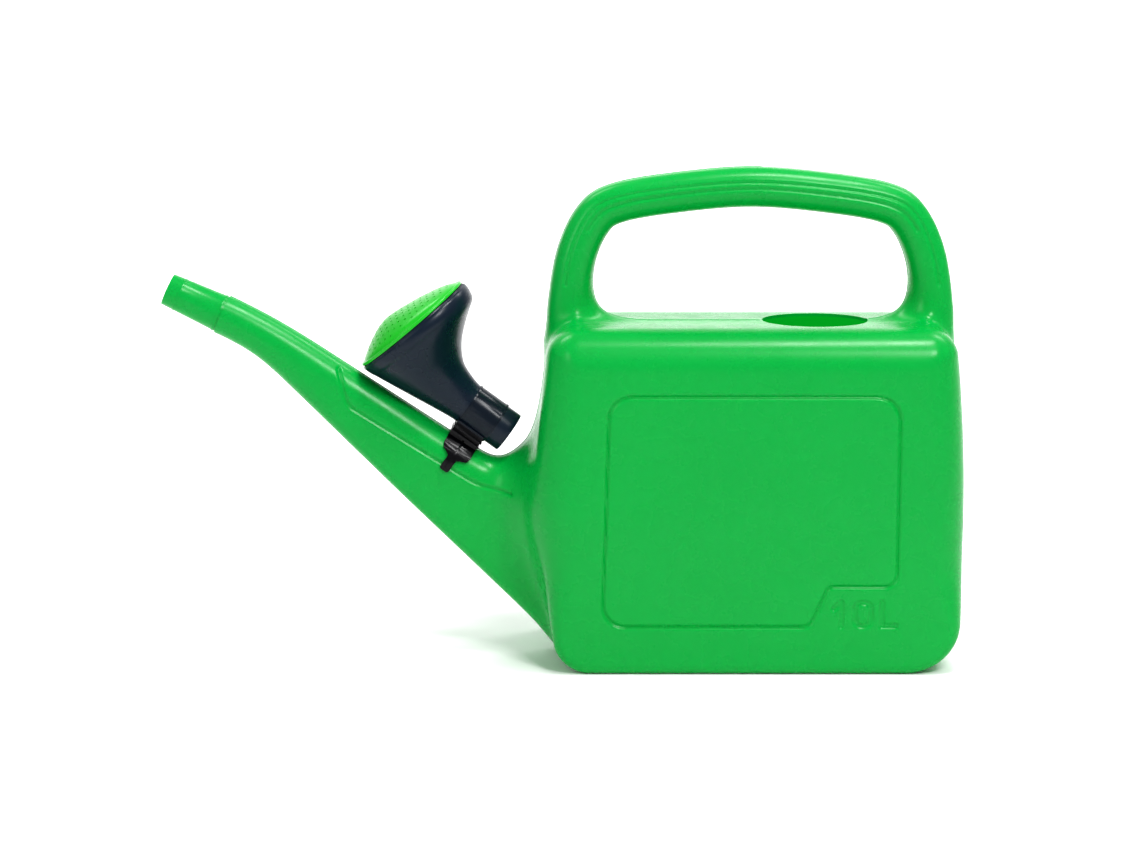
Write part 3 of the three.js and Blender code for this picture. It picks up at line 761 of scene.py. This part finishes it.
def make_clip():
    """The clip: a ring for the neck on a flanged web, over two cheeks that snap down on the spout."""
    across = 40
    bore = NECK_RADIUS + CLIP_GAP
    outer = bore + CLIP_WALL
    tab_low, tab_high = CLIP_MIDDLE - 3.6, CLIP_MIDDLE + 3.9
    shield = prism("shield", rounded([
        (CLIP_START + 1.5, -14, 0.1), (CLIP_START + 0.8, -30.5, 3), (CLIP_START + 2, -34.4, 2.5),
        (tab_low - 0.2, -37.2, 2), (tab_low, -TAB_DROP, 2.0), (tab_high, -TAB_DROP, 2.0),
        (tab_high - 0.2, -37.0, 2.2), (CLIP_END - 2.2, -34.0, 2), (CLIP_END - 0.6, -30.5, 2),
        (CLIP_END - 0.2, -14, 0.1),
    ], closed=True)[:-1], across)
    cheeks = cut(arch("cheeks", CLIP_GAP + CLIP_WALL), shield, "INTERSECT")
    rib_low, rib_high = CLIP_MIDDLE - 0.7, CLIP_MIDDLE + 0.7
    rib_foot = 1.5 - TAB_DROP
    rib = prism("rib", [(rib_low, -21), (rib_high, -21), (rib_high, rib_foot), (rib_low, rib_foot)], across)
    cut(cheeks, cut(arch("rib_skin", CLIP_GAP + CLIP_WALL + RIB_PROUD), rib, "INTERSECT"), "UNION")

    clip = rod("rose_clip_shell", to_neck(CLIP_START, 0), to_neck(CLIP_END, 0), outer * MM, sides=96)
    web = prism("web", [
        (CLIP_START + 1.5, -10), (CLIP_END - 0.3, -10), (CLIP_END - 0.5, -29), (CLIP_START + 1.2, -29),
    ], 10.5)
    cut(clip, web, "UNION")
    for drop, reach in ((-17.4, 13.2), (-20.9, 14.6)):
        flange = prism("flange", [
            (CLIP_START + 0.6, drop + 0.7), (CLIP_END + 0.4, drop + 0.7),
            (CLIP_END + 0.4, drop - 0.7), (CLIP_START + 0.6, drop - 0.7),
        ], reach)
        cut(clip, flange, "UNION")
    for u in (CLIP_START + LIP_HALF, CLIP_END - LIP_HALF):
        near, far = to_neck(u - LIP_HALF, 0), to_neck(u + LIP_HALF, 0)
        cut(clip, rod("lip", near, far, (outer + LIP_PROUD) * MM, sides=96), "UNION")
    cut(clip, cheeks, "UNION")
    cut(clip, rod("bore", to_neck(CLIP_START - 5, 0), to_neck(CLIP_END + 5, 0), bore * MM, sides=96))
    cut(clip, arch("spout_room", CLIP_GAP))
    return soften(park(clip), 0.35 * MM)


# ---- the finished pieces -----------------------------------------------------------------------------
def finish(piece, body, slot, material, *nodes):
    """Hands a piece to its body. With no material, it keeps those that it has."""
    if material:
        piece.data.materials.clear()
        piece.data.materials.append(material)
        piece.data.polygons.foreach_set("material_index", np.zeros(len(piece.data.polygons), dtype=np.int32))
    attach(piece, body)
    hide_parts(*nodes)


# ---- materials ---------------------------------------------------------------------------------------
def moulded_plastic(name, colour, roughness, grain, level, glow=0.0):
    """A moulded plastic: its colour clouds a little, and its skin has a fine grain and a slow waviness.

    The level is how strongly it mirrors. With glow, some of the light goes through its thin wall.
    """
    tint = 0.06
    material = bpy.data.materials.new(name)
    material.use_nodes = True
    nodes, links = material.node_tree.nodes, material.node_tree.links
    shader = nodes["Principled BSDF"]
    shader.inputs["Specular IOR Level"].default_value = level
    if glow:
        shader.inputs["Subsurface Weight"].default_value = glow
        shader.inputs["Subsurface Radius"].default_value = (0.3, 1.0, 0.4)
        shader.inputs["Subsurface Scale"].default_value = 0.006
    place = nodes.new("ShaderNodeTexCoord")

    def noise(scale, detail):
        cloud = nodes.new("ShaderNodeTexNoise")
        cloud.inputs["Scale"].default_value = scale
        cloud.inputs["Detail"].default_value = detail
        links.new(place.outputs["Object"], cloud.inputs["Vector"])
        return cloud

    mix = nodes.new("ShaderNodeMix")
    mix.data_type = "RGBA"
    mix.inputs["A"].default_value = (*[channel * (1 - tint) for channel in colour], 1)
    mix.inputs["B"].default_value = (*[min(channel * (1 + tint), 1) for channel in colour], 1)
    links.new(noise(9, 3).outputs["Fac"], mix.inputs["Factor"])
    links.new(mix.outputs["Result"], shader.inputs["Base Color"])

    rough = nodes.new("ShaderNodeMapRange")
    rough.inputs["From Min"].default_value = 0.3
    rough.inputs["From Max"].default_value = 0.7
    rough.inputs["To Min"].default_value = roughness - 0.03
    rough.inputs["To Max"].default_value = roughness + 0.04
    links.new(noise(60, 4).outputs["Fac"], rough.inputs["Value"])
    links.new(rough.outputs["Result"], shader.inputs["Roughness"])

    fine = nodes.new("ShaderNodeBump")
    fine.inputs["Strength"].default_value = grain
    fine.inputs["Distance"].default_value = 0.0001
    links.new(noise(1400, 2).outputs["Fac"], fine.inputs["Height"])
    slow = nodes.new("ShaderNodeBump")
    slow.inputs["Strength"].default_value = 0.12
    slow.inputs["Distance"].default_value = 0.0006
    links.new(noise(28, 1).outputs["Fac"], slow.inputs["Height"])
    links.new(slow.outputs["Normal"], fine.inputs["Normal"])
    links.new(fine.outputs["Normal"], shader.inputs["Normal"])
    return material


def paint_light_on_ring(material, colour, below):
    """Paints the part of the clip that lies higher than below, across the neck, a lighter colour: painted
    light, where the light from above falls on the ring.
    """
    nodes, links = material.node_tree.nodes, material.node_tree.links
    place = nodes.new("ShaderNodeTexCoord")
    across_neck = Vector((math.sin(ROSE_SLOPE), 0, math.cos(ROSE_SLOPE)))
    fade = 0.5 * MM
    across = nodes.new("ShaderNodeVectorMath")
    across.operation = "DOT_PRODUCT"
    across.inputs[1].default_value = across_neck
    links.new(place.outputs["Object"], across.inputs[0])
    share = nodes.new("ShaderNodeMapRange")
    edge = (neck_to_can() @ to_neck(0, below)).dot(across_neck)
    share.inputs["From Min"].default_value = edge - fade
    share.inputs["From Max"].default_value = edge + fade
    links.new(across.outputs["Value"], share.inputs["Value"])
    mix = nodes.new("ShaderNodeMix")
    mix.data_type = "RGBA"
    mix.inputs["B"].default_value = (*colour, 1)
    shader = nodes["Principled BSDF"]
    links.new(shader.inputs["Base Color"].links[0].from_socket, mix.inputs["A"])
    links.new(share.outputs["Result"], mix.inputs["Factor"])
    links.new(mix.outputs["Result"], shader.inputs["Base Color"])


CAN_COLOUR = (0.0, 0.365, 0.055)
can_green = moulded_plastic("can_green_polyethylene", CAN_COLOUR, 0.27, 0.08, level=0.25, glow=0.15)
lining_green_painted_glow = moulded_plastic("can_green_lining_painted_glow", CAN_COLOUR, 0.4, 0.10, level=0.15)
# painted glow: the lining's emission stands in for daylight that comes through the thin wall, so the lining
# is a little bright by itself
lining_shader = lining_green_painted_glow.node_tree.nodes["Principled BSDF"]
lining_shader.inputs["Emission Color"].default_value = (0, 0.25, 0.02, 1)
lining_shader.inputs["Emission Strength"].default_value = 0.8
face_green = moulded_plastic("face_green_polypropylene", (0.012, 0.45, 0.02), 0.28, 0.06, level=0.35)
rose_black = moulded_plastic("rose_blue_black_polypropylene", (0.0045, 0.0125, 0.026), 0.28, 0.08, level=0.3)
clip_black = moulded_plastic("clip_black_polypropylene", (0.002, 0.002, 0.0035), 0.24, 0.05, level=0.25)
# painted light: the clip's ring is painted a lighter navy than the rest of the black clip, where light from
# above falls on it
paint_light_on_ring(clip_black, (0.0045, 0.0095, 0.018), -NECK_RADIUS)

finish(make_can(), "can", "can_green", None, "tank", "handle", "spout")
finish(make_spout_tip(), "can", "can_green", can_green, "spout_tip")
finish(make_funnel(), "rose", "rose_black", rose_black, "rose_funnel")
finish(make_face(), "face", "face_green", face_green, "rose_face")
finish(make_clip(), "clip", "clip_black", clip_black, "rose_clip")


# ---- floor, light and camera -------------------------------------------------------------------------
def make_backdrop():
    """A pale sweep: a wide floor that curves up into a wall behind the can. In metres."""
    bpy.ops.object.select_all(action="DESELECT")
    bpy.ops.mesh.primitive_plane_add(size=10, location=(0, 0, 0))
    sweep = bpy.context.object
    sweep.name = "floor"
    bpy.ops.object.mode_set(mode="EDIT")
    bpy.ops.mesh.select_mode(type="EDGE")
    bpy.ops.mesh.select_all(action="DESELECT")
    mesh = bmesh.from_edit_mesh(sweep.data)
    for edge in mesh.edges:
        edge.select_set(all(v.co.y > 0 for v in edge.verts))
    mesh.select_flush_mode()
    bmesh.update_edit_mesh(sweep.data)
    bpy.ops.mesh.extrude_edges_move(TRANSFORM_OT_translate={"value": (0, 0, 6)})
    bpy.ops.mesh.select_all(action="DESELECT")
    mesh = bmesh.from_edit_mesh(sweep.data)
    for edge in mesh.edges:
        edge.select_set(all(v.co.y > 0 and v.co.z < 0.1 for v in edge.verts))
    bmesh.update_edit_mesh(sweep.data)
    bpy.ops.mesh.bevel(offset=3, segments=24, profile=0.5, affect="EDGES")
    bpy.ops.object.mode_set(mode="OBJECT")
    bpy.ops.object.shade_smooth()
    paint = bpy.data.materials.new("backdrop_paint")
    paint.use_nodes = True
    shader = paint.node_tree.nodes["Principled BSDF"]
    shader.inputs["Base Color"].default_value = (0.94, 0.94, 0.935, 1)
    shader.inputs["Roughness"].default_value = 0.8
    shader.inputs["Specular IOR Level"].default_value = 0.1
    sweep.data.materials.append(paint)


make_backdrop()
bpy.context.scene.view_settings.view_transform = "Standard"
bpy.context.scene.view_settings.look = "Medium High Contrast"
world = bpy.data.worlds.new("studio")
bpy.context.scene.world = world
world.use_nodes = True
world.node_tree.nodes["Background"].inputs["Color"].default_value = (1, 1, 1, 1)
world.node_tree.nodes["Background"].inputs["Strength"].default_value = 0.34


def softbox(name, place, aim, size, power):
    """A rectangular lamp at a place, turned to an aim. In metres and watts."""
    light = bpy.data.lights.new(name, "AREA")
    light.shape = "RECTANGLE"
    light.size, light.size_y = size
    light.energy = power
    obj = bpy.data.objects.new(name, light)
    bpy.context.collection.objects.link(obj)
    obj.location = place
    obj.rotation_euler = (Vector(aim) - Vector(place)).to_track_quat("-Z", "Y").to_euler()


softbox("key", (0.75, -1.6, 1.9), (0.0, 0, 0.2), (0.6, 0.6), 27)
softbox("overhead", (0.3, -0.35, 1.9), (0.0, 0, 0.25), (0.6, 0.2), 14)
softbox("fill", (-1.6, -1.3, 1.0), (-0.2, 0, 0.2), (0.8, 1.2), 8)
softbox("backdrop_left", (-1.6, 1.3, 2.8), (-0.8, 4.5, 0.6), (1.5, 1.5), 90)
softbox("backdrop_right", (1.6, 1.3, 2.8), (0.8, 4.5, 0.6), (1.5, 1.5), 90)

lens = bpy.data.cameras.new("camera")
camera = bpy.data.objects.new("camera", lens)
bpy.context.collection.objects.link(camera)
bpy.context.scene.camera = camera
DISTANCE = 1.93            # metres
AIM = Vector((-0.135, 0, 0.171))
ELEVATION = math.radians(9.8)
WIDTH_AT_AIM = 0.85158     # metres across the picture at the aim
SENSOR = 36
camera.location = AIM + Vector((0, -math.cos(ELEVATION), math.sin(ELEVATION))) * DISTANCE
camera.rotation_euler = (AIM - camera.location).to_track_quat("-Z", "Y").to_euler()
lens.sensor_width = SENSOR
lens.lens = SENSOR * DISTANCE / WIDTH_AT_AIM
